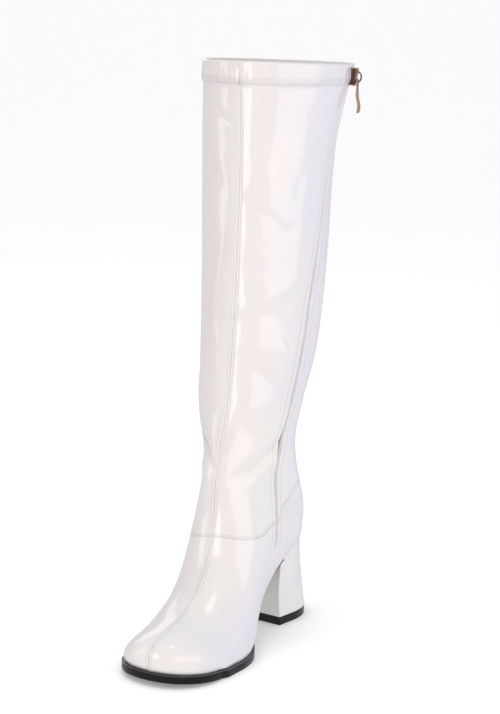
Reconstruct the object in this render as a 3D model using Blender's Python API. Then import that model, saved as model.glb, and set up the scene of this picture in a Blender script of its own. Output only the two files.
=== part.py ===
"""A knee-high go-go boot for the right foot, in metres, standing on the floor at z = 0.

The toe points to -Y, +X is the wearer's inner (medial) side, and the origin is the middle
of the heel's resting face. The upper is one hollow wall. Its sections are planes that all
hold the X direction. They fan from the feather edge at the toe, over the ball and round
the heel, to the collar, so that a row of SECTIONS is one cut across the last or the shaft.
"""

import math

import bmesh
import bpy
import numpy as np
from mathutils import Matrix, Vector

# Driving sizes.
FOOT_LENGTH = 0.220  # back of the seat to the tip of the toe, along the floor
BALL_WIDTH = 0.085
SEAT_HEIGHT = 0.076  # floor to the back of the seat
BOOT_HEIGHT = 0.4635  # floor to the front of the collar
WALL = 0.0018  # patent, backing and lining together
GAP = 0.0003  # between faces that meet

# The sizes that the rows below were drawn at, so that another size is graded from them.
PATTERN_LENGTH = 0.220
PATTERN_WIDTH = 0.085
PATTERN_SEAT = 0.076
PATTERN_HEIGHT = 0.4635

# Each row is one section, in millimetres. It runs from its end, the feather edge or the
# back seam, to the front seam, which lies at x = seam. share is the half width at the
# feather edge over the full half width, 0 where the section is a closed ring. belly is the
# way from the end to the widest place. The last two say how square the front quarters are.
COLUMNS = ("end_y", "end_z", "share", "front_y", "front_z", "seam", "medial", "lateral",
           "belly", "medial_square", "lateral_square")
SECTIONS = (
    ("toe edge", -161.0, 7.4, 1.000, -202.0, 11.0, 9.0, 45.5, -31.5, 8.0, 2.12, 2.35),
    ("toe wall", -159.8, 7.3, 0.995, -205.0, 20.0, 9.0, 46.2, -31.7, 9.5, 2.15, 2.25),
    ("toe shoulder", -158.0, 7.1, 0.982, -202.0, 28.5, 9.0, 47.2, -32.0, 12.5, 2.18, 2.05),
    ("toe top", -155.0, 6.9, 0.978, -191.0, 34.5, 9.0, 48.2, -32.2, 17.0, 2.20, 1.90),
    ("toe back", -150.0, 6.6, 0.959, -173.5, 38.5, 8.5, 49.2, -33.4, 20.0, 2.20, 1.72),
    ("forefoot", -141.5, 6.5, 0.945, -154.5, 43.0, 7.5, 50.0, -34.7, 22.0, 2.15, 1.66),
    ("ball", -128.0, 6.5, 0.947, -136.5, 53.0, 6.5, 50.0, -35.0, 26.0, 2.10, 1.70),
    ("vamp", -111.5, 7.5, 0.920, -122.0, 64.0, 4.5, 47.8, -34.5, 31.5, 2.10, 1.75),
    ("waist", -92.5, 16.5, 0.800, -111.5, 77.5, 3.0, 43.0, -32.5, 37.0, 2.05, 1.80),
    ("instep", -71.5, 30.0, 0.670, -104.5, 94.5, 2.0, 39.0, -32.0, 41.0, 2.00, 1.85),
    ("seat front", -48.5, 47.5, 0.670, -101.0, 110.0, 1.5, 37.5, -33.5, 43.0, 2.00, 1.90),
    ("seat", -25.0, 63.0, 0.780, -99.5, 125.0, 1.0, 36.0, -34.5, 45.0, 2.00, 2.00),
    ("seat side", -6.5, 70.0, 0.790, -98.5, 136.5, 1.0, 35.0, -35.5, 45.0, 2.00, 2.00),
    ("seat round", 7.5, 73.5, 0.530, -96.5, 146.0, 1.0, 34.0, -36.0, 45.0, 2.00, 2.00),
    ("seat back", 15.0, 76.0, 0.000, -94.5, 154.5, 1.0, 33.5, -36.5, 45.0, 2.00, 2.00),
    ("counter", 15.0, 90.5, 0.000, -92.0, 162.0, 1.0, 33.5, -37.5, 45.0, 2.00, 2.00),
    ("heel bone", 10.0, 105.0, 0.000, -89.5, 169.0, 1.0, 33.5, -39.0, 45.0, 2.00, 2.00),
    ("tendon", 1.0, 128.0, 0.000, -86.5, 178.5, 1.0, 34.0, -40.5, 44.0, 2.00, 2.00),
    ("ankle", -3.0, 153.5, 0.000, -84.0, 190.0, 1.5, 35.5, -42.0, 44.0, 2.00, 2.00),
    ("low shaft", 2.0, 185.0, 0.000, -81.5, 209.0, 2.0, 40.0, -45.0, 45.0, 2.00, 2.00),
    ("calf", 16.0, 227.0, 0.000, -79.0, 241.5, 2.5, 45.0, -48.0, 48.0, 2.00, 2.00),
    ("high calf", 25.0, 271.0, 0.000, -76.5, 277.0, 3.0, 46.5, -51.0, 50.5, 2.00, 2.00),
    ("shaft", 30.5, 320.0, 0.000, -74.5, 321.5, 3.0, 47.5, -53.5, 51.5, 2.00, 2.00),
    ("knee hollow", 33.5, 369.5, 0.000, -72.0, 367.5, 2.5, 48.5, -55.5, 52.5, 2.00, 2.00),
    ("high shaft", 37.0, 404.0, 0.000, -70.5, 406.5, 1.5, 51.0, -57.0, 54.5, 2.00, 2.00),
    ("cuff", 44.0, 436.0, 0.000, -71.0, 437.0, 1.0, 56.5, -58.0, 58.0, 2.00, 2.00),
    ("collar", 53.5, 459.0, 0.000, -71.5, 463.5, 0.0, 59.0, -59.5, 63.0, 2.00, 2.00),
)
SEAT_BACK = 14  # the first section that is a closed ring
COLLAR = len(SECTIONS) - 1

HALF_STEPS = 16  # faces from the front seam to the end of a section
ROWS_PER_SECTION = 2
TOE_ROWS_SKIPPED = 5  # of the sole, where the first sections end close together
CUFF_HEM = 25.32  # where the cuff's lower edge lies, counted in sections
CUFF_STEP = 0.0007

# Outsole: a full edge under the forefoot, thin and set in under the waist.
SOLE_THICKNESS = 0.0062
WAIST_THICKNESS = 0.0032
SOLE_MARGIN = 0.0023
WAIST_MARGIN = -0.0015  # tucked in under the upper
FOREFOOT_ENDS = -0.112
WAIST_BEGINS = -0.086
SOLE_EDGE = 0.0008
BREAST_GAP = 0.0006

# Heel: a covered block with a flat breast and a round back, turned to the seat's own line.
HEEL_TURN = math.radians(-5)
# height as a share of the block, how far the breast lies in front of the origin and the
# back behind it, where the ring is widest, its half width, and how square its back is
HEEL_RINGS = (
    (0.00, 0.0268, 0.0268, -0.0067, 0.0272, 2.30),
    (0.30, 0.0270, 0.0236, -0.0080, 0.0260, 2.25),
    (0.65, 0.0273, 0.0194, -0.0100, 0.0264, 2.10),
    (1.00, 0.0277, 0.0162, -0.0130, 0.0286, 1.95),
)
HEEL_BREAST_WIDTH = 0.95  # half width at the breast over the full half width
TOP_PIECE_THICKNESS = 0.0068
TOP_PIECE_EDGE = 0.0006

INSOLE_THICKNESS = 0.0020
INSOLE_INSET = 0.0034
INSOLE_BACK = 13.7

# Zip, by section and by the share of the way round from the front seam to the back seam.
ZIP_LINE = (
    (25.75, 0.600), (25.0, 0.580), (24.0, 0.560), (23.0, 0.535), (22.0, 0.490),
    (21.0, 0.450), (20.0, 0.438), (19.0, 0.452), (18.0, 0.450), (17.0, 0.420),
    (16.0, 0.388), (15.0, 0.372), (14.0, 0.385), (13.0, 0.450), (12.0, 0.523),
    (11.0, 0.605), (10.4, 0.660),
)
ZIP_WIDTH = 0.0034
ZIP_HEIGHT = 0.0012
ZIP_STEPS = 48
ZIP_PROUD = 0.00035

# Slider, bail and pull tab.
SLIDER_AT = 25.60
SLIDER_SIZE = (0.0084, 0.0140, 0.0030)  # across, along, thick
SLIDER_LIFT = CUFF_STEP + ZIP_PROUD + ZIP_HEIGHT + GAP
BAIL_WIRE = 0.0007  # radius
BAIL_REACH = 0.0052  # half its length along the slider
BAIL_RISE = 0.0048
PULL_PIVOT_DOWN = 0.0015  # below the slider's middle
PULL_PIVOT_OUT = 0.00115  # above the slider's face
PULL_WIDTH = 0.0050
PULL_THICKNESS = 0.0011
PULL_SLOT = (0.0026, 0.0054)  # width, and length from the cross bar's middle
PULL_LENGTH = 0.0265
PULL_BOW = 0.0013  # how far the S curve of the tab swings


def graded(x, y, z):
    """A pattern point in millimetres as a point of this boot in metres."""
    x = x / 1000 * BALL_WIDTH / PATTERN_WIDTH
    y = y / 1000 * FOOT_LENGTH / PATTERN_LENGTH
    z = z / 1000
    if z <= PATTERN_SEAT:
        return x, y, z * SEAT_HEIGHT / PATTERN_SEAT
    shaft = (BOOT_HEIGHT - SEAT_HEIGHT) / (PATTERN_HEIGHT - PATTERN_SEAT)
    return x, y, SEAT_HEIGHT + (z - PATTERN_SEAT) * shaft


def spline(values, at):
    """Values of a table's rows, read smoothly at a place between two rows."""
    last = len(values) - 1
    i = min(max(int(math.floor(at)), 0), last - 1)
    t = at - i
    before = values[i - 1] if i else 2 * values[0] - values[1]
    after = values[i + 2] if i + 2 <= last else 2 * values[last] - values[last - 1]
    a, b = values[i], values[i + 1]
    return 0.5 * (2 * a + (b - before) * t + (2 * before - 5 * a + 4 * b - after) * t ** 2
                  + (3 * a - 3 * b + after - before) * t ** 3)


TABLE = np.array([row[1:] for row in SECTIONS], float)


def half_section(values, side, steps):
    """Points from the front seam to the section's end, on the inner (1) or outer (-1) side."""
    row = dict(zip(COLUMNS, values))
    share = min(max(row["share"], 0.0), 1.0)
    edge_x = row["medial"] if side > 0 else row["lateral"]
    square = row["medial_square"] if side > 0 else row["lateral_square"]
    width = abs(edge_x - row["seam"])
    rise_y = row["front_y"] - row["end_y"]
    rise_z = row["front_z"] - row["end_z"]
    depth = math.hypot(rise_y, rise_z)
    feather = math.asin(share)
    widest = row["belly"] * math.cos(feather)
    over = np.linspace(math.pi / 2, 0, 48)
    under = np.linspace(math.pi / 2, feather, 48)[1:]
    along = np.r_[widest + (depth - widest) * np.sin(over) ** (2 / square),
                  row["belly"] * (math.cos(feather) - np.cos(under))]
    across = np.r_[width * np.cos(over) ** (2 / square), width * np.sin(under)]
    length = np.r_[0, np.cumsum(np.hypot(np.diff(along), np.diff(across)))]
    even = np.linspace(0, length[-1], steps + 1)
    along = np.interp(even, length, along)
    across = np.interp(even, length, across)
    return [graded(row["seam"] + side * b, row["end_y"] + a * rise_y / depth,
                   row["end_z"] + a * rise_z / depth) for a, b in zip(along, across)]


def section(at, steps=HALF_STEPS):
    """One whole section, from its inner end over the front seam to its outer end."""
    values = spline(TABLE, at)
    inner = half_section(values, 1, steps)
    outer = half_section(values, -1, steps)
    return np.array(inner[::-1] + outer[1:])


def surface_point(at, across):
    """A point of the upper's outer face. across is 0 at the front seam, 1 at the inner end."""
    steps = 60
    points = section(at, steps)
    place = (1 - across) * steps
    i = min(int(place), 2 * steps - 1)
    return Vector(points[i] + (points[i + 1] - points[i]) * (place - i))


def surface_frame(at, across):
    """A point there, with the outward normal."""
    here = surface_point(at, across)
    up = surface_point(at + 0.02, across) - surface_point(at - 0.02, across)
    round_ = surface_point(at, across + 0.01) - surface_point(at, across - 0.01)
    out = up.cross(round_).normalized()
    if out.x < 0:
        out = -out
    return here, out


def material(name, colour, roughness, metallic=0.0):
    made = bpy.data.materials.new(name)
    made.use_nodes = True
    shader = made.node_tree.nodes["Principled BSDF"]
    shader.inputs["Base Color"].default_value = (*colour, 1.0)
    shader.inputs["Roughness"].default_value = roughness
    shader.inputs["Metallic"].default_value = metallic
    return made


def new_object(name, finish, mesh_data, parent=None):
    made = bpy.data.objects.new(name, mesh_data)
    bpy.context.scene.collection.objects.link(made)
    made.data.materials.append(finish)
    made.parent = parent
    return made


def finish_mesh(bm, name, smooth_angle=40):
    """Closes the doubles, faces the normals out and gives the mesh."""
    bmesh.ops.remove_doubles(bm, verts=bm.verts, dist=1e-6)
    bmesh.ops.dissolve_degenerate(bm, edges=bm.edges, dist=1e-7)
    bmesh.ops.recalc_face_normals(bm, faces=bm.faces)
    made = bpy.data.meshes.new(name)
    bm.to_mesh(made)
    bm.free()
    made.shade_smooth()
    made.set_sharp_from_angle(angle=math.radians(smooth_angle))
    return made


def patch(bm, grid):
    """Faces over a grid of points, leaving out what collapses at a pole."""
    verts = [[bm.verts.new(point) for point in row] for row in grid]
    for row, following in zip(verts, verts[1:]):
        for a, b, c, d in zip(row, row[1:], following[1:], following):
            corners = []
            for corner in (a, b, c, d):
                if all((corner.co - other.co).length > 1e-7 for other in corners):
                    corners.append(corner)
            if len(corners) > 2:
                bm.faces.new(corners)


def rim(grid):
    """The closed border of a grid, once round."""
    first = list(grid[0])
    last = list(grid[-1])
    right = [row[-1] for row in grid[1:-1]]
    left = [row[0] for row in grid[1:-1]]
    border = first + right + last[::-1] + left[::-1]
    return border + border[:1]


def stack(name, layers):
    """A solid from layers of points, each a grid. The first and last are its two faces."""
    bm = bmesh.new()
    patch(bm, layers[0])
    patch(bm, layers[-1])
    for lower, upper in zip(layers, layers[1:]):
        patch(bm, [rim(lower), rim(upper)])
    return finish_mesh(bm, name)


def feather_height():
    """Height of the feather edge against y, from the tip of the toe to the back of the seat."""
    tip = section(0)[HALF_STEPS]
    ends = [section(at)[0] for at in np.arange(0, SEAT_BACK + 0.01, 0.25)]
    ends += [ends[-1] + np.array((0, 0.010, 0.002))]
    ys = [tip[1] - 0.004, tip[1]] + [end[1] for end in ends]
    zs = [tip[2] + 0.0004, tip[2]] + [end[2] for end in ends]
    return lambda y: float(np.interp(y, ys, zs))


FEATHER = feather_height()


def feather_line(inner_end, outer_end):
    """Inner and outer halves of the feather edge in plan, from the tip of the toe backwards."""
    toe = section(0)
    rows = int(round(min(inner_end, outer_end) * ROWS_PER_SECTION))
    places = [i / ROWS_PER_SECTION for i in range(TOE_ROWS_SKIPPED, rows)]
    halves = []
    for end, turn in ((inner_end, 0), (outer_end, -1)):
        around = toe[HALF_STEPS::-1] if turn == 0 else toe[HALF_STEPS:]
        rest = [section(at)[turn] for at in places + [end]]
        halves.append(np.array(list(around) + rest)[:, :2])
    return halves


def moved_out(inner, outer, distance, closed_back=False):
    """Both halves moved outwards in plan, by a distance that may change along the shoe."""
    moved = []
    for line, other, side in ((inner, outer, 1), (outer, inner, -1)):
        before = np.vstack([other[1:2], line[:-1]])
        after = np.vstack([line[1:], other[-2:-1] if closed_back else line[-1:]])
        tangent = after - before
        normal = side * np.c_[-tangent[:, 1], tangent[:, 0]] * -1
        normal /= np.linalg.norm(normal, axis=1)[:, None]
        far = np.array([distance(y) for y in line[:, 1]])
        moved.append(line + normal * far[:, None])
    return moved


def plan_grid(inner, outer, height, columns=4):
    """A grid of points between two lines in plan, at heights read from y."""
    grid = []
    for a, b in zip(inner, outer):
        row = [a + (b - a) * i / columns for i in range(columns + 1)]
        grid.append([(x, y, height(y)) for x, y in row])
    return grid


def ramp(y, from_y, to_y, from_value, to_value):
    t = min(max((y - from_y) / (to_y - from_y), 0.0), 1.0)
    t = t * t * (3 - 2 * t)
    return from_value + (to_value - from_value) * t


def upper_mesh():
    """The wall: an outer face from the sections, an inner one a wall's thickness inside it."""
    places = list(np.linspace(0, COLLAR, COLLAR * ROWS_PER_SECTION + 1))
    places = sorted(set(places) | {CUFF_HEM, CUFF_HEM + 0.012})
    outer = np.array([section(at) for at in places])
    columns = outer.shape[1]
    normals = np.zeros_like(outer)
    a, b = outer[:-1, :-1], outer[1:, :-1]
    c, d = outer[1:, 1:], outer[:-1, 1:]
    faces = np.cross(c - a, b - d)
    for rows, cols in ((slice(0, -1), slice(0, -1)), (slice(1, None), slice(0, -1)),
                       (slice(1, None), slice(1, None)), (slice(0, -1), slice(1, None))):
        normals[rows, cols] += faces
    for i, at in enumerate(places):
        if at >= SEAT_BACK:
            both = normals[i, 0] + normals[i, -1]
            normals[i, 0] = both
            normals[i, -1] = both
    normals /= np.linalg.norm(normals, axis=2)[..., None]
    if normals[-1, columns // 2, 1] > 0:
        normals = -normals
    inner = outer - normals * WALL
    cuff = np.array([at > CUFF_HEM + 0.006 for at in places])
    outer = outer + normals * CUFF_STEP * cuff[:, None, None]
    bm = bmesh.new()
    patch(bm, outer)
    patch(bm, inner)
    patch(bm, [outer[0], inner[0]])
    patch(bm, [outer[-1], inner[-1]])
    opened = [i for i, at in enumerate(places) if at <= SEAT_BACK]
    for column in (0, columns - 1):
        patch(bm, [[outer[i, column] for i in opened], [inner[i, column] for i in opened]])
    return finish_mesh(bm, "upper")


def sole_margin(y):
    return ramp(y, FOREFOOT_ENDS, WAIST_BEGINS, SOLE_MARGIN, WAIST_MARGIN)


def sole_bottom(y):
    thickness = ramp(y, FOREFOOT_ENDS, WAIST_BEGINS, SOLE_THICKNESS, WAIST_THICKNESS)
    return max(FEATHER(y) - GAP - thickness, 0.0)


def breast_distance(point):
    """How far a point in plan lies in front of the heel's turned breast, at its top."""
    ahead = Matrix.Rotation(HEEL_TURN, 2) @ Vector((0, -1))
    return ahead.dot(Vector(point)) - HEEL_RINGS[-1][1]


def section_at_breast(end):
    """The section whose inner (0) or outer (-1) feather point just clears the breast."""
    for at in np.arange(12, 8, -0.01):
        if breast_distance(section(at)[end][:2]) > BREAST_GAP:
            return at
    raise ValueError("the breast lies outside the waist")


def outsole_mesh():
    inner, outer = feather_line(section_at_breast(0), section_at_breast(-1))
    top = moved_out(inner, outer, lambda y: sole_margin(y) - SOLE_EDGE)
    side = moved_out(inner, outer, sole_margin)
    return stack("outsole", [
        plan_grid(*top, lambda y: FEATHER(y) - GAP),
        plan_grid(*side, lambda y: FEATHER(y) - GAP - SOLE_EDGE / 2),
        plan_grid(*side, lambda y: sole_bottom(y) + SOLE_EDGE),
        plan_grid(*top, sole_bottom),
    ])


def heel_halves(breast, back, widest, width, square, rows=14):
    """Both halves of a heel ring in plan, from the breast to the middle of its back."""
    angle = np.linspace(0, math.pi / 2, rows)
    xs = np.r_[HEEL_BREAST_WIDTH * width, width * np.cos(angle) ** (2 / square)]
    ys = np.r_[-breast, widest + (back - widest) * np.sin(angle) ** (2 / square)]
    xs[-1] = 0.0
    turn = np.array(Matrix.Rotation(HEEL_TURN, 2))
    return np.c_[xs, ys] @ turn.T, np.c_[-xs, ys] @ turn.T


def heel_mesh():
    foot = TOP_PIECE_THICKNESS + GAP
    layers = []
    for share, *ring in HEEL_RINGS:
        layers.append(plan_grid(
            *heel_halves(*ring), lambda y, s=share: foot + s * (FEATHER(y) - GAP - foot)))
    return stack("heel", layers)


def top_piece_mesh():
    _, breast, back, widest, width, square = HEEL_RINGS[0]
    edge = TOP_PIECE_EDGE
    full = heel_halves(breast, back, widest, width, square)
    tread = heel_halves(breast - edge, back - edge, widest, width - edge, square)
    return stack("top_piece", [
        plan_grid(*full, lambda y: TOP_PIECE_THICKNESS),
        plan_grid(*full, lambda y: edge),
        plan_grid(*tread, lambda y: 0.0),
    ])


def insole_mesh():
    inner, outer = feather_line(INSOLE_BACK, INSOLE_BACK)
    halves = moved_out(inner, outer, lambda y: -INSOLE_INSET)
    return stack("insole", [
        plan_grid(*halves, lambda y: FEATHER(y) + GAP),
        plan_grid(*halves, lambda y: FEATHER(y) + GAP + INSOLE_THICKNESS),
    ])


def zip_place(share):
    """Section and way round of the zip, from its top (0) to its foot (1)."""
    rows = np.array(ZIP_LINE)
    return spline(rows, share * (len(rows) - 1))


def zip_chain_mesh():
    grid = []
    for share in np.linspace(0, 1, ZIP_STEPS + 1):
        at, across = zip_place(share)
        here, out = surface_frame(at, across)
        along = surface_point(*zip_place(share - 0.01)) - surface_point(*zip_place(share + 0.01))
        side = along.cross(out).normalized() * ZIP_WIDTH / 2
        low = out * (ZIP_PROUD + ramp(at, CUFF_HEM - 0.25, CUFF_HEM - 0.05, 0, CUFF_STEP))
        crown = low + out * ZIP_HEIGHT
        grid.append([here - side + low, here - side * 0.7 + crown,
                     here + side * 0.7 + crown, here + side + low, here - side + low])
    bm = bmesh.new()
    patch(bm, grid)
    for end in (grid[0], grid[-1]):
        bm.faces.new([bm.verts.new(point) for point in end[:4]])
    return finish_mesh(bm, "zip_chain")


def slider_place():
    """Where the slider sits: its frame leans with the shaft, and the pull's hangs plumb."""
    rows = np.array(ZIP_LINE)
    across = float(np.interp(SLIDER_AT, rows[::-1, 0], rows[::-1, 1]))
    here, out = surface_frame(SLIDER_AT, across)
    side = Vector((0, 0, 1)).cross(out).normalized()
    along = out.cross(side)
    lean = Matrix((side, along, out)).transposed().to_4x4()
    lean.translation = here + out * SLIDER_LIFT
    outward = side.cross(Vector((0, 0, 1)))
    plumb = Matrix((side, Vector((0, 0, 1)), outward)).transposed().to_4x4()
    pivot = Vector((0, -PULL_PIVOT_DOWN, SLIDER_SIZE[2] + PULL_PIVOT_OUT))
    plumb.translation = lean @ pivot
    return lean, plumb


def add_union(target, other):
    joined = target.modifiers.new("joined", "BOOLEAN")
    joined.operation = "UNION"
    joined.object = other
    other.hide_render = True
    other.display_type = "WIRE"


def make_slider(finish):
    lean, _ = slider_place()
    width, length, thick = SLIDER_SIZE
    bm = bmesh.new()
    bmesh.ops.create_cube(bm, size=1)
    bmesh.ops.scale(bm, vec=SLIDER_SIZE, verts=bm.verts)
    bmesh.ops.translate(bm, vec=(0, 0, thick / 2), verts=bm.verts)
    foot = [v for v in bm.verts if v.co.y < 0]
    bmesh.ops.scale(bm, vec=(0.72, 1, 1), verts=foot)
    bmesh.ops.bevel(bm, geom=bm.edges[:], offset=0.0009, segments=2, profile=0.5,
                    affect="EDGES", material=-1)
    slider = new_object("zip_slider", finish, finish_mesh(bm, "zip_slider"))
    slider.matrix_world = lean

    bm = bmesh.new()
    made = bmesh.ops.create_circle(bm, segments=8, radius=BAIL_WIRE, cap_ends=True)
    bmesh.ops.translate(bm, vec=(0, -BAIL_REACH + BAIL_WIRE, 0), verts=made["verts"])
    bmesh.ops.spin(bm, geom=bm.verts[:] + bm.edges[:] + bm.faces[:], cent=(0, 0, 0),
                   axis=(1, 0, 0), angle=-math.pi, steps=12, use_duplicate=False)
    rise = BAIL_RISE / BAIL_REACH
    bmesh.ops.scale(bm, vec=(1, 1, rise), verts=bm.verts)
    bmesh.ops.translate(bm, vec=(0, 0, thick - 0.0006), verts=bm.verts)
    bail = new_object("bail", finish, finish_mesh(bm, "bail"))
    bail.matrix_world = lean
    add_union(slider, bail)
    return slider


def make_pull(finish):
    """A tab with a slot at its top. Its cross bar lies under the bail, on the pivot."""
    _, plumb = slider_place()
    pivot = bpy.data.objects.new("pull_pivot", None)
    bpy.context.scene.collection.objects.link(pivot)
    pivot.matrix_world = plumb

    slot_width, slot_length = PULL_SLOT
    bar = PULL_THICKNESS / 2
    tail = np.linspace(slot_length + 0.0008, PULL_LENGTH, 11)
    stations = [-bar, bar, slot_length, *tail]

    def bow(down):
        share = max(down - slot_length, 0) / (PULL_LENGTH - slot_length)
        return PULL_BOW * (0.2 * share - math.sin(2 * math.pi * share) * 0.75 * share ** 0.4)

    def half_width(down):
        share = max(down - slot_length, 0) / (PULL_LENGTH - slot_length)
        if share > 0.9:
            return PULL_WIDTH / 2 * 0.78
        return PULL_WIDTH / 2 * (1 - 0.22 * math.sin(math.pi * min(share / 0.9, 1)))

    bm = bmesh.new()
    rows = []
    for down in stations:
        wide = half_width(down)
        xs = (-wide, -slot_width / 2, slot_width / 2, wide)
        row = []
        for z in (bow(down) - bar, bow(down) + bar):
            row.append([bm.verts.new((x, -down, z)) for x in xs])
        rows.append(row)
    for i, (row, following) in enumerate(zip(rows, rows[1:])):
        for j in range(3):
            slot = i == 1 and j == 1
            if not slot:
                for layer in (0, 1):
                    bm.faces.new((row[layer][j], row[layer][j + 1],
                                  following[layer][j + 1], following[layer][j]))
        for j in (0, 3):
            bm.faces.new((row[0][j], row[1][j], following[1][j], following[0][j]))
        if i == 1:
            for j in (1, 2):
                bm.faces.new((row[0][j], row[1][j], following[1][j], following[0][j]))
    for row in (rows[0], rows[1], rows[2], rows[-1]):
        for j in range(3):
            if (row in (rows[1], rows[2])) and j != 1:
                continue
            bm.faces.new((row[0][j], row[0][j + 1], row[1][j + 1], row[1][j]))
    return new_object("zip_pull", finish, finish_mesh(bm, "zip_pull"), pivot)


def main():
    for old in list(bpy.data.objects):
        bpy.data.objects.remove(old)
    patent = material("white patent", (0.84, 0.81, 0.80), 0.12)
    black = material("black sole", (0.012, 0.012, 0.013), 0.18)
    lining = material("pale lining", (0.78, 0.74, 0.70), 0.75)
    coil = material("zip coil", (0.62, 0.58, 0.54), 0.50)
    gold = material("rose gold", (0.86, 0.62, 0.50), 0.20, 1.0)

    new_object("outsole", black, outsole_mesh())
    new_object("heel", patent, heel_mesh())
    new_object("top_piece", black, top_piece_mesh())
    new_object("upper", patent, upper_mesh())
    new_object("insole", lining, insole_mesh())
    new_object("zip_chain", coil, zip_chain_mesh())
    make_slider(gold)
    make_pull(gold)


main()
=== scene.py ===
# The looks of a white knee-high boot for the right foot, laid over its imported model.
import math

import bmesh
import bpy
import numpy as np
from mathutils import Matrix, Vector


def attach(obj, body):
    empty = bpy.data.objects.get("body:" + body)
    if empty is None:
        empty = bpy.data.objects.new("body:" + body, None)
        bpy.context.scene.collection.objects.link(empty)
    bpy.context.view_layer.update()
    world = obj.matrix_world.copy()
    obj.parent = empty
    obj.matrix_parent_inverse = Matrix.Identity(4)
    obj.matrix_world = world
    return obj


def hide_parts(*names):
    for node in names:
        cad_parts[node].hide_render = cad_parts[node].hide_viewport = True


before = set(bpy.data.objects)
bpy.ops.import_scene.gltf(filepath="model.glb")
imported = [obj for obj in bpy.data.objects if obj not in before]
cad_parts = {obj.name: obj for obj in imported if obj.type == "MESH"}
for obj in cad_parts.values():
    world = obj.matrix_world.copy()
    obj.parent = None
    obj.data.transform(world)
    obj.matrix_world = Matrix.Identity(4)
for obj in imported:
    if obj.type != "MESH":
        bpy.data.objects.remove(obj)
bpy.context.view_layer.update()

mm = 0.001
print("frame loaded")


# The cut of the boot. Each row is one section across the last or the shaft, in millimetres,
# from its end (feather edge or back seam) to the front seam at x = seam.
# end y, end z, share, front y, front z, seam, medial, lateral, belly, medial and lateral square
bootSections = np.array([
    (-161.0, 7.4, 1.000, -202.0, 11.0, 9.0, 45.5, -31.5, 8.0, 2.12, 2.35),  # 0 toe edge
    (-159.8, 7.3, 0.995, -205.0, 20.0, 9.0, 46.2, -31.7, 9.5, 2.15, 2.25),
    (-158.0, 7.1, 0.982, -202.0, 28.5, 9.0, 47.2, -32.0, 12.5, 2.18, 2.05),
    (-155.0, 6.9, 0.978, -191.0, 34.5, 9.0, 48.2, -32.2, 17.0, 2.20, 1.90),
    (-150.0, 6.6, 0.959, -173.5, 38.5, 8.5, 49.2, -33.4, 20.0, 2.20, 1.72),
    (-141.5, 6.5, 0.945, -154.5, 43.0, 7.5, 50.0, -34.7, 22.0, 2.15, 1.66),
    (-128.0, 6.5, 0.947, -136.5, 53.0, 6.5, 50.0, -35.0, 26.0, 2.10, 1.70),  # 6 ball
    (-111.5, 7.5, 0.920, -122.0, 64.0, 4.5, 47.8, -34.5, 31.5, 2.10, 1.75),
    (-92.5, 16.5, 0.800, -111.5, 77.5, 3.0, 43.0, -32.5, 37.0, 2.05, 1.80),
    (-71.5, 30.0, 0.670, -104.5, 94.5, 2.0, 39.0, -32.0, 41.0, 2.00, 1.85),
    (-48.5, 47.5, 0.670, -101.0, 110.0, 1.5, 37.5, -33.5, 43.0, 2.00, 1.90),
    (-25.0, 63.0, 0.780, -99.5, 125.0, 1.0, 36.0, -34.5, 45.0, 2.00, 2.00),
    (-6.5, 70.0, 0.790, -98.5, 136.5, 1.0, 35.0, -35.5, 45.0, 2.00, 2.00),
    (7.5, 73.5, 0.530, -96.5, 146.0, 1.0, 34.0, -36.0, 45.0, 2.00, 2.00),
    (15.0, 76.0, 0.000, -94.5, 154.5, 1.0, 33.5, -36.5, 45.0, 2.00, 2.00),  # 14 back of the seat
    (15.0, 90.5, 0.000, -92.0, 162.0, 1.0, 33.5, -37.5, 45.0, 2.00, 2.00),
    (10.0, 105.0, 0.000, -89.5, 169.0, 1.0, 33.5, -39.0, 45.0, 2.00, 2.00),
    (1.0, 128.0, 0.000, -86.5, 178.5, 1.0, 34.0, -40.5, 44.0, 2.00, 2.00),
    (-3.0, 153.5, 0.000, -84.0, 190.0, 1.5, 35.5, -42.0, 44.0, 2.00, 2.00),  # 18 ankle
    (2.0, 185.0, 0.000, -81.5, 209.0, 2.0, 40.0, -45.0, 45.0, 2.00, 2.00),
    (16.0, 227.0, 0.000, -79.0, 241.5, 2.5, 45.0, -48.0, 48.0, 2.00, 2.00),
    (25.0, 271.0, 0.000, -76.5, 277.0, 3.0, 46.5, -51.0, 50.5, 2.00, 2.00),
    (30.5, 320.0, 0.000, -74.5, 321.5, 3.0, 47.5, -53.5, 51.5, 2.00, 2.00),
    (33.5, 369.5, 0.000, -72.0, 367.5, 2.5, 48.5, -55.5, 52.5, 2.00, 2.00),
    (37.0, 404.0, 0.000, -70.5, 406.5, 1.5, 51.0, -57.0, 54.5, 2.00, 2.00),
    (44.0, 436.0, 0.000, -71.0, 437.0, 1.0, 56.5, -58.0, 58.0, 2.00, 2.00),
    (53.5, 459.0, 0.000, -71.5, 463.5, 0.0, 59.0, -59.5, 63.0, 2.00, 2.00),  # 26 collar
])
seatBack = 14
collar = len(bootSections) - 1


def smoothRow(rows, at):
    # reads a table between its rows, on a Catmull-Rom spline
    rows = np.asarray(rows, float)
    i = min(max(int(at), 0), len(rows) - 2)
    t = at - i
    before = rows[i - 1] if i else 2 * rows[0] - rows[1]
    after = rows[i + 2] if i + 2 < len(rows) else 2 * rows[-1] - rows[-2]
    a, b = rows[i], rows[i + 1]
    return 0.5 * (2 * a + (b - before) * t + (2 * before - 5 * a + 4 * b - after) * t ** 2
                  + (3 * a - 3 * b + after - before) * t ** 3)


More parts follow.
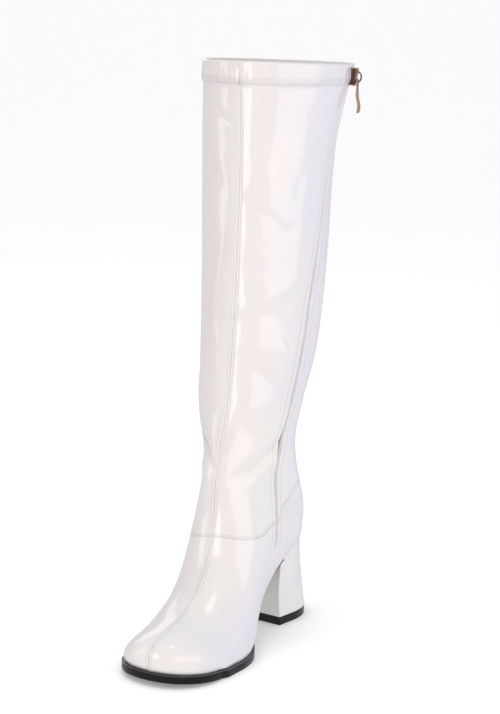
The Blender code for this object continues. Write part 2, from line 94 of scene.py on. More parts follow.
def sectionAt(at, places):
    # points of one section: place 1 is the inner end, 0 the front seam, -1 the outer end
    (endY, endZ, share, frontY, frontZ, seam, medial, lateral,
     belly, medialSquare, lateralSquare) = smoothRow(bootSections, at)
    depth = math.hypot(frontY - endY, frontZ - endZ)
    feather = math.asin(min(max(share, 0), 1))
    widest = belly * math.cos(feather)
    over = np.linspace(math.pi / 2, 0, 60)
    under = np.linspace(math.pi / 2, feather, 60)[1:]
    points = np.zeros((len(places), 3))
    for side, width, square in ((1, medial - seam, medialSquare),
                                (-1, seam - lateral, lateralSquare)):
        along = np.r_[widest + (depth - widest) * np.sin(over) ** (2 / square),
                      belly * (math.cos(feather) - np.cos(under))]
        across = np.r_[width * np.cos(over) ** (2 / square), width * np.sin(under)]
        length = np.r_[0, np.cumsum(np.hypot(np.diff(along), np.diff(across)))]
        mine = (places >= 0) if side > 0 else (places < 0)
        at = np.abs(places[mine]) * length[-1]
        along = np.interp(at, length, along) / depth
        across = np.interp(at, length, across)
        points[mine] = np.c_[seam + side * across, endY + along * (frontY - endY),
                             endZ + along * (frontZ - endZ)]
    return points * mm


def bootPoint(at, place):
    return sectionAt(at, np.array([float(place)]))[0]


def bootLine(marks, steps):
    # a line over the boot through marks of (section, place), evenly smooth
    reach = np.linspace(0, len(marks) - 1, steps)
    return np.array([bootPoint(*smoothRow(marks, share)) for share in reach])


def nearLine(points, line):
    # distance to a line, how far along it, and the vector from it, for many points at once
    best = np.full(len(points), 1e9)
    along = np.zeros(len(points))
    away = np.zeros_like(points)
    runs = np.r_[0, np.cumsum(np.linalg.norm(np.diff(line, axis=0), axis=1))]
    for start, end, run in zip(line, line[1:], runs):
        step = end - start
        length = np.linalg.norm(step)
        if length < 1e-9:
            continue
        share = np.clip((points - start) @ step / length ** 2, 0, 1)
        offset = points - start - share[:, None] * step
        distance = np.linalg.norm(offset, axis=1)
        closer = distance < best
        best[closer] = distance[closer]
        along[closer] = (run + share * length)[closer]
        away[closer] = np.cross(step / length, offset[closer])
    return best, along, away, runs[-1]


def soften(value, start, end):
    share = np.clip((value - start) / (end - start), 0, 1)
    return share * share * (3 - 2 * share)


# Shader maths as plain expressions.
class Wire:
    def __init__(self, tree, socket):
        self.tree, self.socket = tree, socket

    def join(self, operation, *others):
        node = self.tree.nodes.new("ShaderNodeMath")
        node.operation = operation
        for slot, value in zip(node.inputs, (self, *others)):
            if isinstance(value, Wire):
                self.tree.links.new(value.socket, slot)
            else:
                slot.default_value = value
        return Wire(self.tree, node.outputs[0])

    def __add__(self, other):
        return self.join("ADD", other)

    def __radd__(self, other):
        return self.join("ADD", other)

    def __sub__(self, other):
        return self.join("SUBTRACT", other)

    def __rsub__(self, other):
        return self.join("MULTIPLY_ADD", -1.0, other)

    def __mul__(self, other):
        return self.join("MULTIPLY", other)

    def __rmul__(self, other):
        return self.join("MULTIPLY", other)

    def __truediv__(self, other):
        return self.join("DIVIDE", other)

    def size(self):
        return self.join("ABSOLUTE")

    def part(self):
        return self.join("FRACT")

    def larger(self, other):
        return self.join("MAXIMUM", other)


class Finish:
    # one material: its nodes come from make(), its surface is a Principled BSDF
    def __init__(self, name, **constants):
        self.material = bpy.data.materials.new(name)
        self.material.use_nodes = True
        self.tree = self.material.node_tree
        self.shader = self.tree.nodes["Principled BSDF"]
        for socket, value in constants.items():
            self.shader.inputs[socket.replace("_", " ")].default_value = value

    def make(self, kind, settings=None, inputs=None, output=0):
        node = self.tree.nodes.new(kind)
        for name, value in (settings or {}).items():
            if name == "stops":
                ramp = node.color_ramp.elements
                while len(ramp) < len(value):
                    ramp.new(0.5)
                for stop, (position, colour) in zip(ramp, value):
                    stop.position = position
                    stop.color = (*colour, 1)
            else:
                setattr(node, name, value)
        for name, value in (inputs or {}).items():
            if isinstance(value, Wire):
                self.tree.links.new(value.socket, node.inputs[name])
            else:
                node.inputs[name].default_value = value
        return Wire(self.tree, node.outputs[output])

    def place(self):
        return self.make("ShaderNodeTexCoord", output="Object")

    def attribute(self, name):
        vector = self.make("ShaderNodeAttribute", {"attribute_name": name}, output="Vector")
        across = self.make("ShaderNodeSeparateXYZ", inputs={0: vector}, output="X")
        along = self.make("ShaderNodeSeparateXYZ", inputs={0: vector}, output="Y")
        return across, along

    def noise(self, scale, detail=3.0, roughness=0.5, at=None):
        return self.make("ShaderNodeTexNoise", inputs={
            "Vector": at or self.place(), "Scale": scale, "Detail": detail,
            "Roughness": roughness}, output="Fac")

    def ease(self, value, start, end):
        # 0 before start, 1 after end, whichever way they run
        return self.make("ShaderNodeMapRange", {"interpolation_type": "SMOOTHSTEP"}, {
            "Value": value, "From Min": start, "From Max": end})

    def blend(self, share, first, second, how="MIX"):
        return self.make("ShaderNodeMix", {"data_type": "RGBA", "blend_type": how}, {
            "Factor": share, 6: first if isinstance(first, Wire) else (*first, 1),
            7: second if isinstance(second, Wire) else (*second, 1)}, output=2)

    def connect(self, socket, value):
        self.tree.links.new(value.socket, self.shader.inputs[socket])

    def bump(self, height, distance, strength=1.0):
        self.connect("Normal", self.make("ShaderNodeBump", inputs={
            "Height": height, "Distance": distance, "Strength": strength}))


patentLook = {
    # warm and cool are painted side tints standing in for the pearl's reflection; warm is also
    # darker, as painted shade
    "warm": (0.775, 0.700, 0.668),  # outer side
    "cream": (0.860, 0.815, 0.795),  # front
    "cool": (0.800, 0.757, 0.803),  # inner side
    # painted shade for the seam grooves, the cuff's hem edge and the needle holes
    "paintedSeamShade": (0.50, 0.46, 0.45),
    "threadShade": (0.56, 0.53, 0.53),
    # painted highlight on the raised strip along the front seam
    "paintedBandHighlight": (0.90, 0.865, 0.845),  # the raised strip along the front seam
    # painted shade in the zip's sunken channel
    "paintedPocketShade": (0.62, 0.57, 0.54),  # the channel of the zip
}


def pearlAndPaintedSideTint(finish):
    # the pearl's colour painted by side, with a slow noisy drift: warm on the outer side, cream
    # at the front, cool on the inner side; the side tints are a painted pearl reflection, which
    # really shifts with the angle, and the outer side is also painted darker as shade
    place = finish.place()
    x = finish.make("ShaderNodeSeparateXYZ", inputs={0: place}, output="X")
    y = finish.make("ShaderNodeSeparateXYZ", inputs={0: place}, output="Y")
    drift = x + (finish.noise(16, 2) - 0.5) * 0.05 + y * 0.05 - 0.007
    warm = finish.blend(finish.ease(drift, -0.035, 0.004), patentLook["warm"],
                        patentLook["cream"])
    return finish.blend(finish.ease(drift, 0.006, 0.046), warm, patentLook["cool"])


def patent(name, roughness):
    finish = Finish(name, Roughness=roughness, IOR=1.5, Coat_Weight=1.0, Coat_Roughness=0.09,
                    Coat_IOR=1.75, Thin_Film_Thickness=430.0, Thin_Film_IOR=1.38)
    peel = finish.noise(140, 2) * 0.00010 + finish.noise(700, 2) * 0.000006
    return finish, peel


patentUpper, upperPeel = patent("white patent", 0.22)
patentHeel, heelPeel = patent("white patent heel", 0.24)
patentHeel.connect("Base Color", pearlAndPaintedSideTint(patentHeel))
patentHeel.bump(heelPeel, 1.0)

seamLook = {
    "thread": 0.55 * mm, "pitch": 2.3 * mm, "filled": 0.66, "frontBand": 2.4 * mm,
    "zipPocket": 1.9 * mm, "zigzag": 2.3 * mm, "zigzagLow": 1.0 * mm, "zigzagHigh": 5.6 * mm,
    "grooveDepth": 0.35 * mm, "stitchDepth": 0.22 * mm, "zigzagRise": 0.16 * mm,
    "needleDepth": 0.25 * mm, "hemDepth": 0.30 * mm,
    # name, groove's outer and inner half width in mm, how deep, stitches at mm, on both sides
    "seams": [
        ("frontSeam", 0.8, 0.20, 1.0, 2.2, True),
        ("ankleSeam", 0.8, 0.25, 1.0, -1.9, False),
        ("counterSeam", 0.7, 0.20, 0.8, 1.9, False),
        ("backSeam", 0.7, 0.20, 0.7, 0, False),
        ("zipLine", 0, 0, 0, 6.2, True),
    ],
}


def stitchRow(finish, across, along, at):
    # 1 on the thread of each stitch, 0 between two and beside the row
    thread, half = seamLook["thread"], seamLook["filled"] / 2
    spot = ((along / seamLook["pitch"]).part() - 0.5).size()
    return finish.ease((across - at).size(), thread, thread * 0.4) * finish.ease(
        spot, half, half - 0.12)


def cuffStitches(finish):
    # the cuff's zigzag, the needle holes at its lower corners, and the hem's edge
    low, high = seamLook["zigzagLow"], seamLook["zigzagHigh"]
    across, along = finish.attribute("cuffHem")
    wave = ((along / seamLook["zigzag"]).part() * 2 - 1).size()
    offThread = (across - low - wave * (high - low)).size()
    band = finish.ease((across - (low + high) / 2).size(), 2.7 * mm, 2.3 * mm)
    zigzag = finish.ease(offThread, 1.5 * mm, 0.4 * mm) * band
    needle = finish.ease((across - low).size(), 0.8 * mm, 0.3 * mm) * finish.ease(
        wave, 0.45, 0.1)
    return zigzag, needle, finish.ease(across.size(), 0.9 * mm, 0.2 * mm)


def highest(wires):
    top = wires[0]
    for wire in wires[1:]:
        top = top.larger(wire)
    return top


def upperMaterial(finish, peel):
    look = seamLook
    shade, thread = patentLook["paintedSeamShade"], patentLook["threadShade"]
    lines = {name: finish.attribute(name) for name, *_ in look["seams"]}
    grooves, rows = [], []
    for name, wide, narrow, deep, stitchAt, bothSides in look["seams"]:
        across, along = lines[name]
        if deep:
            grooves.append(finish.ease(across.size(), wide * mm, narrow * mm) * deep)
        if stitchAt:
            rows.append(stitchRow(finish, across.size() if bothSides else across, along,
                                  stitchAt * mm))
    groove, stitches = highest(grooves), highest(rows)
    zigzag, needle, hem = cuffStitches(finish)
    band = finish.ease(lines["frontSeam"][0].size(), look["frontBand"], 1.9 * mm)
    pocket = finish.ease(lines["zipLine"][0].size(), look["zipPocket"], 1.2 * mm)
    # painted highlight along the raised front seam strip
    colour = finish.blend(band * 0.45, pearlAndPaintedSideTint(finish), patentLook["paintedBandHighlight"])
    # painted shade in the seam grooves and along the cuff's hem edge
    colour = finish.blend(groove.larger(hem * 0.75) * 0.30, colour, shade)
    colour = finish.blend(stitches * 0.34, colour, thread)
    colour = finish.blend(zigzag * 0.20, colour, thread)
    # painted shade in the needle holes
    colour = finish.blend(needle * 0.62, colour, shade)
    # painted shade in the zip's sunken channel
    colour = finish.blend(pocket * 0.35, colour, patentLook["paintedPocketShade"])
    finish.connect("Base Color", colour)
    finish.connect("Roughness", 0.22 + pocket * 0.3 + stitches * 0.25)
    height = peel - groove * look["grooveDepth"] - stitches * look["stitchDepth"]
    height = height + zigzag * look["zigzagRise"] - needle * look["needleDepth"]
    finish.bump(height - hem * look["hemDepth"], 1.0)


upperMaterial(patentUpper, upperPeel)

lining = Finish("pale knit lining", Roughness=0.85, Specular_IOR_Level=0.2, Sheen_Weight=0.3)
weave = lining.make("ShaderNodeTexWave", {"wave_type": "BANDS", "bands_direction": "Z"}, {
    "Vector": lining.place(), "Scale": 420.0, "Distortion": 1.5}, output="Fac")
lining.connect("Base Color", lining.blend(weave * 0.35 + lining.noise(90) * 0.3,
                                          (0.70, 0.66, 0.61), (0.82, 0.79, 0.75)))
lining.bump(weave * 0.00012, 1.0)

soleBlack = Finish("gloss black sole", IOR=1.33)
rise = soleBlack.attribute("edgeRise")[0]
# painted highlight: the top of the sole's edge, where edgeRise nears 1, is lighter grey
soleBlack.connect("Base Color", soleBlack.blend(
    soleBlack.ease(rise, 0.88, 0.98) * 0.75 + soleBlack.noise(60) * 0.03,
    (0.004, 0.004, 0.005), (0.120, 0.115, 0.115)))
soleBlack.connect("Roughness", 0.17 + soleBlack.noise(300) * 0.12)
soleBlack.bump(soleBlack.noise(500, 2) * 0.00004, 1.0)

treadBlack = Finish("black tread", IOR=1.5)
tread = treadBlack.make("ShaderNodeTexVoronoi", {"feature": "F1"}, {
    "Vector": treadBlack.place(), "Scale": 420.0}, output="Distance")
treadBlack.connect("Base Color", treadBlack.blend(tread * 0.5, (0.012, 0.012, 0.013),
                                                  (0.04, 0.04, 0.042)))
treadBlack.connect("Roughness", 0.45 + treadBlack.noise(40) * 0.2)
treadBlack.bump(tread * 0.0002, 1.0)

roseGold = Finish("rose gold", Metallic=1.0, Coat_Weight=0.3, Coat_Roughness=0.05)
# painted dark reflection: the faces that look outwards are darker
darkReflectionFacing = roseGold.make("ShaderNodeSeparateXYZ", inputs={
    0: roseGold.make("ShaderNodeTexCoord", output="Normal")}, output="X")
plating = roseGold.blend(roseGold.noise(260), (0.56, 0.34, 0.23), (0.84, 0.59, 0.44))
roseGold.connect("Base Color", roseGold.blend(roseGold.ease(darkReflectionFacing, 0.15, 0.75), plating,
                                              (0.10, 0.055, 0.040)))
roseGold.connect("Roughness", 0.12 + roseGold.noise(900) * 0.12)
roseGold.bump(roseGold.noise(1200, 2) * 0.00001, 1.0)

# painted shade: a dark gold for the slider's side recesses, standing in for their shadow
recessShadeGold = Finish("painted recess shade gold", Metallic=1.0)
recessShadeGold.connect("Base Color", recessShadeGold.blend(recessShadeGold.noise(400), (0.07, 0.035, 0.022),
                                              (0.20, 0.11, 0.075)))
recessShadeGold.connect("Roughness", 0.28 + recessShadeGold.noise(900) * 0.15)
recessShadeGold.bump(recessShadeGold.noise(1200, 2) * 0.00001, 1.0)

coilNylon = Finish("zip coil", IOR=1.45)
coilNylon.connect("Base Color", coilNylon.blend(coilNylon.noise(300), (0.66, 0.61, 0.57),
                                                (0.82, 0.78, 0.75)))
coilNylon.connect("Roughness", 0.38 + coilNylon.noise(500) * 0.2)
coilNylon.bump(coilNylon.noise(1500, 2) * 0.00003, 1.0)
print("materials made")


def toObject(bm, name, body, finishes, replaced=(), smooth=True):
    mesh = bpy.data.meshes.new(name)
    bm.to_mesh(mesh)
    bm.free()
    made = bpy.data.objects.new(name, mesh)
    bpy.context.scene.collection.objects.link(made)
    for finish in finishes:
        mesh.materials.append(finish.material)
    if smooth:
        mesh.shade_smooth()
        mesh.set_sharp_from_angle(angle=math.radians(42))
    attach(made, body)
    if replaced:
        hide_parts(*replaced)
    return made


def laidGrid(bm, columns, rows, layout):
    # a flat grid whose vertices are then laid on the shape: layout gives rows of points
    made = bmesh.ops.create_grid(bm, x_segments=columns, y_segments=rows, size=1)["verts"]
    points = layout(columns + 1, rows + 1).reshape(-1, 3)
    for vert, point in zip(made, points):
        vert.co = point
    return made


def faceOut(bm, inside):
    # faces of an open skin turned away from a point inside it
    bmesh.ops.recalc_face_normals(bm, faces=bm.faces)
    face = max(bm.faces, key=lambda f: (f.calc_center_median() - inside).length)
    if face.normal.dot(face.calc_center_median() - inside) < 0:
        bmesh.ops.reverse_faces(bm, faces=bm.faces)


upperSettings = {
    "rows": 262, "columns": 176, "wall": 1.8 * mm,
    "cuffHem": 25.32, "cuffStep": 0.8 * mm, "cuffLip": 0.5 * mm, "cuffSoft": 1.1 * mm,
    "puckerHeight": 0.22 * mm, "puckerPitch": 7.5 * mm,
    "seamPillow": 0.42 * mm, "seamWidth": 2.7 * mm, "seamGroove": 0.30 * mm,
    "zipDepth": 1.1 * mm, "zipHalf": 1.5 * mm, "zipLip": 0.45 * mm,
    # sections between which the creases come in over the instep and go out under the cuff
    "creasesIn": (8.3, 10.5), "creasesOut": (25.0, 25.3),
}

# lines over the boot, as (section, place)
zipMarks = [(25.85, 0.603), (25.0, 0.580), (24.0, 0.560), (23.0, 0.535), (22.0, 0.490),
            (21.0, 0.450), (20.0, 0.438), (19.0, 0.452), (18.0, 0.450), (17.0, 0.420),
            (16.0, 0.388), (15.0, 0.372), (14.0, 0.385), (13.0, 0.450), (12.0, 0.523),
            (11.0, 0.605), (10.4, 0.660)]
seamMarks = {
    "frontSeam": [(at, 0.0) for at in np.arange(0, 25.3, 1.0)] + [(25.25, 0.0)],
    "ankleSeam": [(11.0, 0.53), (10.2, 0.45), (9.3, 0.25), (8.85, 0.0), (9.05, -0.22),
                  (9.6, -0.34), (10.4, -0.43), (11.6, -0.50), (13.0, -0.50)],
    "counterSeam": [(12.6, 0.55), (13.6, 0.517), (14.5, 0.533), (15.05, 0.567), (15.75, 0.62),
                    (16.5, 0.76), (16.9, 0.90), (17.0, 1.0)],
    "counterSeamOuter": [(13.0, -0.50), (13.6, -0.50), (14.5, -0.52), (15.05, -0.55),
                         (15.75, -0.62), (16.5, -0.76), (16.9, -0.90), (17.0, -1.0)],
    "zipLine": zipMarks,
    "backSeam": [(at, 1.0) for at in np.arange(17.0, 25.3, 1.0)] + [(25.25, 1.0)],
}

# Creases, given one by one: three marks of (section, place), height and width in millimetres, and
# how sharp the crest or trough is (2 is soft, 1 is a crease).
creases = [
    # ankle, outer side: the fold that starts at the outline and runs down to the front seam
    ((17.2, -0.34), (15.2, -0.13), (12.2, -0.01), -2.6, 4.2, 1.3),
    ((18.0, -0.28), (16.2, -0.10), (13.6, 0.00), 1.3, 7.0, 2.0),
    ((15.4, -0.30), (13.4, -0.14), (11.4, -0.05), 1.2, 6.0, 2.0),
    # ankle, inner side: the long fold from the zip down to the front seam
    ((18.2, 0.52), (15.9, 0.29), (11.6, 0.08), -2.7, 4.6, 1.25),
    ((18.6, 0.42), (16.8, 0.24), (13.6, 0.09), 1.5, 7.5, 2.0),
    ((16.6, 0.40), (13.9, 0.25), (11.6, 0.16), 1.3, 7.0, 2.0),
    # lower calf: hollow beside the seam, and the swell under it
    ((19.7, 0.08), (19.4, 0.20), (19.0, 0.38), -1.5, 9.0, 2.0),
    ((18.6, 0.03), (18.3, 0.17), (18.4, 0.34), 1.2, 8.5, 2.0),
    # calf: the bright slanting swell and the crease that falls from it
    ((20.8, 0.00), (21.1, 0.18), (21.6, 0.40), 1.5, 7.0, 2.0),
    ((20.9, 0.20), (20.5, 0.28), (19.9, 0.37), -1.5, 4.2, 1.4),
    ((21.5, 0.03), (21.9, 0.16), (22.4, 0.36), -1.1, 9.0, 2.0),
    # outer calf: the long soft ridge beside the front seam
    ((22.3, -0.07), (20.6, -0.13), (19.8, -0.06), 1.2, 6.0, 1.8),
    ((20.2, -0.09), (19.2, -0.08), (17.4, -0.05), 1.0, 5.5, 1.8),
    ((21.4, -0.30), (20.4, -0.22), (19.6, -0.24), -1.0, 9.0, 2.0),
    # under the cuff: shallow dents across the front
    ((24.6, -0.18), (24.2, -0.07), (23.9, -0.02), -1.0, 6.5, 1.8),
    ((23.7, -0.16), (23.2, -0.07), (22.7, -0.03), 0.9, 7.0, 2.0),
    ((22.95, 0.02), (22.55, 0.13), (22.1, 0.29), -1.3, 5.5, 1.5),
    ((23.5, 0.06), (23.1, 0.17), (22.7, 0.30), 1.0, 8.0, 2.0),
    ((23.4, 0.36), (22.9, 0.31), (22.4, 0.30), -0.9, 5.0, 1.6),
    ((24.6, 0.20), (24.0, 0.27), (23.4, 0.33), 0.8, 9.0, 2.0),
    # instep, outer side: the small fold over the ankle seam
    ((10.2, -0.24), (10.15, -0.13), (10.4, -0.04), -0.8, 2.8, 1.4),
    # outer side of the ankle and calf
    ((18.4, -0.62), (17.0, -0.48), (15.2, -0.36), -1.8, 6.0, 1.5),
    ((17.2, -0.72), (16.2, -0.55), (14.8, -0.44), 1.1, 7.0, 2.0),
    ((20.4, -0.55), (19.6, -0.42), (19.2, -0.30), -1.2, 9.0, 2.0),
    ((22.8, -0.62), (22.1, -0.48), (21.6, -0.32), -1.1, 10.0, 2.0),
    # back of the ankle
    ((18.6, 0.72), (18.0, 0.90), (18.1, 1.0), -1.6, 6.0, 1.5),
    ((18.1, -1.0), (18.1, -0.86), (18.6, -0.70), -1.6, 6.0, 1.5),
    ((19.5, 0.74), (19.2, 0.90), (19.3, 1.0), -0.9, 6.5, 1.7),
    ((19.3, -1.0), (19.3, -0.88), (19.8, -0.70), -0.9, 6.5, 1.7),
]


def zipPlace(at):
    marks = np.array(zipMarks)[::-1]
    return float(np.interp(at, marks[:, 0], marks[:, 1]))


def crowd(share, tight=0.72):
    # steps that draw close at both ends, where the seams lie
    return share - tight * np.sin(2 * math.pi * share) / (2 * math.pi)


def evenSections(count):
    # sections about as far apart along the front as each other
    at = np.linspace(0, collar, 521)
    points = np.array([sectionAt(a, np.array([0.0, 0.5, -0.5])) for a in at])
    steps = np.linalg.norm(np.diff(points, axis=0), axis=2).mean(axis=1)
    runs = np.r_[0, np.cumsum(steps)]
    return np.interp(np.linspace(0, runs[-1], count), runs, at)


def upperPlaces(at, columns):
    # places along one section, closer together at the seams and at the zip
    middle = (columns - 1) // 2
    quarter = middle + (columns - 1) // 4
    zipAt = zipPlace(at)
    outer = -crowd(np.linspace(1, 0, middle + 1))
    inner = crowd(np.linspace(0, 1, quarter - middle + 1)) * zipAt
    behind = zipAt + crowd(np.linspace(0, 1, columns - quarter)) * (1 - zipAt)
    return np.r_[outer[:-1], inner[:-1], behind]


def gridNormals(points, closed):
    # outward normals of a grid of points: the two ends of a closed row share theirs
    normals = np.zeros_like(points)
    faces = np.cross(points[1:, 1:] - points[:-1, :-1], points[:-1, 1:] - points[1:, :-1])
    for rowCut in (slice(0, -1), slice(1, None)):
        for columnCut in (slice(0, -1), slice(1, None)):
            normals[rowCut, columnCut] += faces
    both = normals[closed, 0] + normals[closed, -1]
    normals[closed, 0] = both
    normals[closed, -1] = both
    normals /= np.linalg.norm(normals, axis=2)[..., None]
    front = normals[-1, points.shape[1] // 2]
    return -normals if front[1] > 0 else normals


def creaseLift(points, sections):
    lift = np.zeros(len(points))
    for *marks, rise, width, sharp in creases:
        distance, along, _, length = nearLine(points, bootLine(marks, 28))
        fade = np.sin(math.pi * np.clip(along / length, 0.02, 0.98)) ** 0.7
        lift += rise * mm * fade * np.exp(-(distance / (width * mm)) ** sharp)
    return (lift * soften(sections, *upperSettings["creasesIn"])
            * (1 - soften(sections, *upperSettings["creasesOut"])))


def seamDistances(points, out, sections):
    # for each seam and the cuff's hem: distance across it with its side, run, and length
    seams = {}
    for name, marks in seamMarks.items():
        distance, along, away, length = nearLine(points, bootLine(marks, 160))
        side = np.where((away * out).sum(axis=1) > 0, 1.0, -1.0)
        seams[name] = [side * distance, along, length]
    inner, outer = seams["counterSeam"], seams.pop("counterSeamOuter")
    onOuter = points[:, 0] < 1 * mm
    inner[0] = np.where(onOuter, outer[0], -inner[0])
    inner[1] = np.where(onOuter, outer[1], inner[1])
    hemAt = upperSettings["cuffHem"]
    hem = sectionAt(hemAt, np.linspace(-1, 1, 200))
    distance, along, _, length = nearLine(points, hem)
    seams["cuffHem"] = [np.where(sections > hemAt, distance, -distance), along, length]
    return seams


def seamLift(seams):
    # the piped front seam, the flat back seam, and the channel of the zip between its lips
    s = upperSettings
    across = np.abs(seams["frontSeam"][0])
    lift = s["seamPillow"] * (1 - soften(across, s["seamWidth"] * 0.6, s["seamWidth"]))
    lift -= s["seamGroove"] * (1 - soften(across, 0.3 * mm, 1.1 * mm))
    across = np.abs(seams["backSeam"][0])
    lift += 0.5 * s["seamPillow"] * (1 - soften(across, 1.2 * mm, s["seamWidth"]))
    across, along, length = seams["zipLine"]
    across = np.abs(across)
    inZip = soften(along, 0, 1.5 * mm) * (1 - soften(along, length - 3 * mm, length))
    channel = 1 - soften(across, s["zipHalf"] * 0.7, s["zipHalf"] * 1.25)
    lips = soften(across, s["zipHalf"], s["zipHalf"] * 1.4) - soften(across, 4.2 * mm, 7.5 * mm)
    return lift + inZip * (s["zipLip"] * lips - s["zipDepth"] * channel)


def cuffLift(across, along):
    # the cuff stands proud of the shaft, thickest at its hem, which puckers a little
    s = upperSettings
    over = soften(across, -0.2 * mm, s["cuffSoft"])
    lip = over * (1 - soften(across, 4.5 * mm, 9 * mm))
    turns = 2 * math.pi * along / s["puckerPitch"]
    pucker = np.sin(turns) + 0.6 * np.sin(turns / 1.7 + 1.3)
    nearHem = soften(across, -9 * mm, -1 * mm) * (1 - soften(across, 8 * mm, 15 * mm))
    return over * s["cuffStep"] + lip * s["cuffLip"] + pucker * nearHem * s["puckerHeight"]


def shapeUpper():
    s = upperSettings
    bm = bmesh.new()
    names = [name for name in seamMarks if name != "counterSeamOuter"] + ["cuffHem"]
    layers = {name: bm.verts.layers.float_vector.new(name) for name in names}
    seams = {}

    def layout(columns, rows):
        at = evenSections(rows)
        points = np.array([sectionAt(a, upperPlaces(a, columns)) for a in at])
        closed = at >= seatBack
        flat = points.reshape(-1, 3)
        out = gridNormals(points, closed).reshape(-1, 3)
        sections = np.repeat(at, columns)
        seams.update(seamDistances(flat, out, sections))
        lift = creaseLift(flat, sections) + seamLift(seams) + cuffLift(*seams["cuffHem"][:2])
        moved = (flat + out * lift[:, None]).reshape(points.shape)
        meet = (moved[closed, 0] + moved[closed, -1]) / 2
        moved[closed, 0] = meet
        moved[closed, -1] = meet
        return moved

    made = laidGrid(bm, s["columns"], s["rows"], layout)
    for name, layer in layers.items():
        across, along, _ = seams[name]
        for index, vert in enumerate(made):
            vert[layer] = (across[index], along[index], 0)
    bmesh.ops.remove_doubles(bm, verts=bm.verts, dist=1e-6)
    faceOut(bm, Vector((0, -0.02, 0.3)))
    upper = toObject(bm, "upperSkin", "boot", [patentUpper, lining], ["upper"])
    wall = upper.modifiers.new("wall", "SOLIDIFY")
    wall.thickness = s["wall"]
    wall.offset = -1
    wall.material_offset = 1
    wall.use_rim = True
    return upper


upper = shapeUpper()
print("upper laid:", len(upper.data.polygons), "faces")


# Feather edge in plan, from the tip of the toe backwards, for sole, insole and heel seat.
def featherEnds(at):
    ends = sectionAt(at, np.array([1.0, -1.0]))
    return ends[0], ends[1]


def featherHeights():
    tip = bootPoint(0, 0)
    ends = [featherEnds(at)[0] for at in np.arange(0, seatBack + 0.01, 0.25)]
    ys = [tip[1] - 4 * mm, tip[1]] + [end[1] for end in ends] + [ends[-1][1] + 10 * mm]
    zs = [tip[2] + 0.4 * mm, tip[2]] + [end[2] for end in ends] + [ends[-1][2] + 2 * mm]
    return np.array(ys), np.array(zs)


featherYs, featherZs = featherHeights()


def featherAt(y):
    return np.interp(y, featherYs, featherZs)


def featherHalves(innerEnd, outerEnd, steps):
    halves = []
    for end, side in ((innerEnd, 1), (outerEnd, -1)):
        toe = sectionAt(0, side * np.linspace(0, 1, 60))
        rest = [featherEnds(at)[0 if side > 0 else 1] for at in np.linspace(0, end, 120)[1:]]
        line = np.vstack([toe, rest])[:, :2]
        runs = np.r_[0, np.cumsum(np.linalg.norm(np.diff(line, axis=0), axis=1))]
        even = np.linspace(0, runs[-1], steps)
        halves.append(np.c_[np.interp(even, runs, line[:, 0]), np.interp(even, runs, line[:, 1])])
    return halves


def movedOut(halves, margin):
    moved = []
    for line, other, side in ((halves[0], halves[1], 1), (halves[1], halves[0], -1)):
        tangent = np.vstack([line[1:], line[-1:]]) - np.vstack([other[1:2], line[:-1]])
        normal = side * np.c_[tangent[:, 1], -tangent[:, 0]]
        normal /= np.linalg.norm(normal, axis=1)[:, None]
        moved.append(line + normal * margin(line[:, 1])[:, None])
    return moved


def slab(halves, top, bottom, rounding, columns=10):
    # a plate between two lines in plan: a grid laid at the top, pressed out to the bottom
    bm = bmesh.new()
    bm.verts.layers.float_vector.new("edgeRise")

    def layout(across, along):
        share = np.linspace(0, 1, across)[None, :, None]
        plan = halves[0][:, None, :] * (1 - share) + halves[1][:, None, :] * share
        return np.concatenate([plan, top(plan[..., 1:2])], axis=2)

    laidGrid(bm, columns, len(halves[0]) - 1, layout)
    bmesh.ops.remove_doubles(bm, verts=bm.verts, dist=1e-6)
    pressed = bmesh.ops.extrude_face_region(bm, geom=bm.faces[:])["geom"]
    for vert in [item for item in pressed if isinstance(item, bmesh.types.BMVert)]:
        vert.co.z = float(bottom(vert.co.y))
    bmesh.ops.recalc_face_normals(bm, faces=bm.faces)
    rim = [e for e in bm.edges if e.is_manifold and e.calc_face_angle() > math.radians(50)]
    bmesh.ops.bevel(bm, geom=rim, offset=rounding, segments=2, profile=0.5, affect="EDGES",
                    material=-1, clamp_overlap=True)
    return bm


soleSettings = {
    "thickness": 6.2 * mm, "waistThickness": 3.2 * mm, "gap": 0.3 * mm,
    "margin": 2.3 * mm, "waistMargin": -1.5 * mm, "forefootEnds": -112 * mm,
    "waistBegins": -86 * mm, "rounding": 0.45 * mm, "steps": 150,
}


def soleShare(y):
    return soften(y, soleSettings["forefootEnds"], soleSettings["waistBegins"])


def soleTop(y):
    return featherAt(y) - soleSettings["gap"]


def soleBottom(y):
    s = soleSettings
    thick = s["thickness"] + (s["waistThickness"] - s["thickness"]) * soleShare(y)
    return np.maximum(soleTop(y) - thick, 0)


def soleMargin(y):
    s = soleSettings
    return s["margin"] + (s["waistMargin"] - s["margin"]) * soleShare(y)


def shapeSole():
    ends = []
    for side in (0, 1):
        back = max(v.co.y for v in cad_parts["outsole"].data.vertices
                   if (v.co.x > 0.004) == (side == 0))
        at = np.arange(8, 13, 0.01)
        ys = np.array([featherEnds(a)[side][1] for a in at])
        ends.append(float(np.interp(back - 0.1 * mm, ys, at)))
    halves = movedOut(featherHalves(*ends, soleSettings["steps"]), soleMargin)
    bm = slab(halves, soleTop, soleBottom, soleSettings["rounding"])
    rise = bm.verts.layers.float_vector["edgeRise"]
    for vert in bm.verts:
        base, top = float(soleBottom(vert.co.y)), float(soleTop(vert.co.y))
        vert[rise] = ((vert.co.z - base) / (top - base), 0, 0)
    for face in bm.faces:
        face.material_index = 1 if face.normal.z < -0.7 else 0
    return toObject(bm, "soleEdge", "boot", [soleBlack, treadBlack], ["outsole"])


shapeSole()
print("sole laid")


